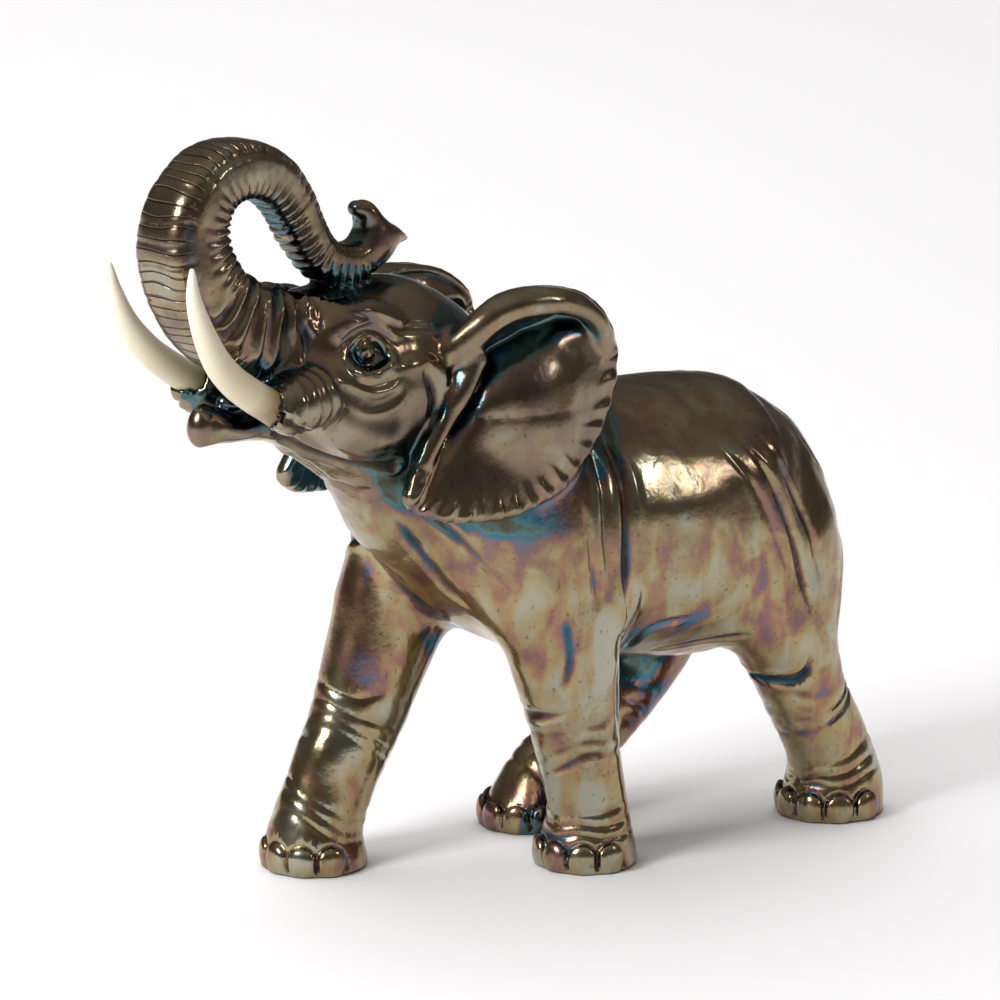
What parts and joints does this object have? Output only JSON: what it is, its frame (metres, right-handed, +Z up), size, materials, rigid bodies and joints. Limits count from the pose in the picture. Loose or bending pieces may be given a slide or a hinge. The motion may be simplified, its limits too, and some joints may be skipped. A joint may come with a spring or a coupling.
{
  "type": "elephant figurine",
  "caption": "Striding elephant figurine in tarnished silver, trunk raised and curled back onto its forehead, with ivory-coloured tusks set in sockets.",
  "frame": {"origin": "on the floor plane, under the middle of the figure's bounding box", "axes": "+Z up from the floor; the elephant walks towards -Y and its left side is towards +X"},
  "size_m": [0.089, 0.2908, 0.2542],
  "materials": {
    "tarnished_silver": "polished silver laminate with a dark iridescent tarnish",
    "ivory_resin": "satin ivory-coloured resin"
  },
  "bodies": {
    "root": {"elephant": "tarnished_silver", "tusk_left": "ivory_resin", "tusk_right": "ivory_resin"}
  },
  "joints": []
}
